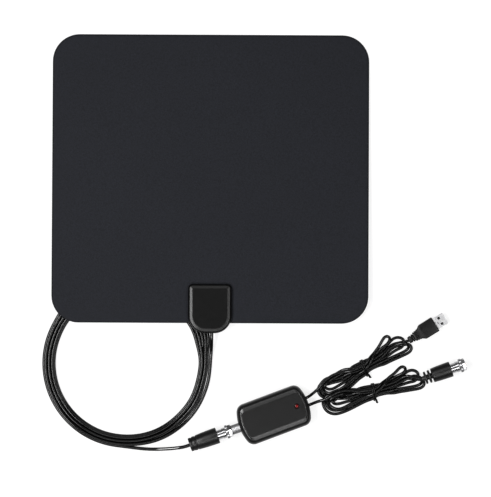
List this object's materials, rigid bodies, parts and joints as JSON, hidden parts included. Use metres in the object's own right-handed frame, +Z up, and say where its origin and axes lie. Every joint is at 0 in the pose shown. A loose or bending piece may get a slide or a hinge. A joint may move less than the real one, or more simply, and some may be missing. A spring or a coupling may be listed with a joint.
{
  "type": "indoor tv antenna",
  "caption": "Flat textured film TV antenna with a junction box, coiled coax lead, in-line signal amplifier, tied power lead and tied coax lead with a screw-on plug.",
  "frame": {"origin": "centre of the base of the panel, junction box and amplifier together, on the surface that they lie on", "axes": "+X to the right along the panel, +Y towards the panel's far edge, +Z up, out of the panel's front face"},
  "size_m": [0.4244, 0.416, 0.0186],
  "materials": {
    "textured_film": "fine leather-like matte grain",
    "back_film": "matte",
    "aluminium_foil": "bright foil",
    "box_plastic": "satin moulded",
    "circuit_board": "solder mask",
    "ferrite": "sintered",
    "copper": "drawn wire",
    "gold_spring": "plated",
    "bush_rubber": "matte",
    "coax_jacket": "glossy extruded jacket",
    "power_jacket": "glossy extruded jacket",
    "boot_plastic": "satin moulded",
    "nickel": "nickel plated",
    "insulator": "natural",
    "amp_plastic": "satin moulded",
    "lamp_red": "clear red lens",
    "tinned_steel": "tinned",
    "chip_black": "moulded",
    "capacitor": "sleeved can",
    "tie_plastic": "coated wire"
  },
  "bodies": {
    "root": {"front_film": "textured_film", "back_film": "back_film", "foil_element_left": "aluminium_foil", "foil_element_right": "aluminium_foil", "box_front_cover": "box_plastic", "box_rear_cover": "box_plastic", "matching_board": "circuit_board", "balun_core": "ferrite", "balun_winding": "copper", "foil_contacts": "gold_spring", "box_cable_bush": "bush_rubber", "coax_lead": "coax_jacket", "coax_coil": "coax_jacket", "coax_fold": "coax_jacket", "coax_tail": "coax_jacket", "coax_plug_boot": "boot_plastic", "coax_plug_body": "nickel", "coax_plug_nut": "nickel", "coax_plug_insulator": "insulator", "coax_plug_pin": "copper", "amp_top_shell": "amp_plastic", "amp_bottom_shell": "amp_plastic", "amp_lamp": "lamp_red", "amp_board": "circuit_board", "amp_shield_can": "tinned_steel", "amp_chip": "chip_black", "amp_capacitors": "capacitor", "amp_choke": "ferrite", "amp_socket_barrel": "nickel", "amp_socket_insulator": "insulator", "amp_socket_contact": "gold_spring", "amp_case_screws": "tinned_steel", "amp_power_bush": "bush_rubber", "amp_tv_bush": "bush_rubber", "power_cord_in": "power_jacket", "power_cord_hank": "power_jacket", "power_cord_out": "power_jacket", "power_cord_tie": "tie_plastic", "power_plug_overmould": "boot_plastic", "power_plug_shell": "tinned_steel", "power_plug_tongue": "boot_plastic", "power_plug_contacts": "gold_spring", "tv_cord_in": "coax_jacket", "tv_cord_hank": "coax_jacket", "tv_cord_out": "coax_jacket", "tv_cord_tie": "tie_plastic", "tv_plug_boot": "boot_plastic", "tv_plug_body": "nickel", "tv_plug_insulator": "insulator", "tv_plug_pin": "copper"},
    "tv_nut": {"tv_plug_nut": "nickel"}
  },
  "joints": [
    {"name": "tv_nut_spin", "type": "hinge", "parent": "root", "child": "tv_nut", "pos_m": [0.25128, -0.12445, 0.0075], "axis": [0.9432, 0.3322, 0], "continuous": true}
  ]
}
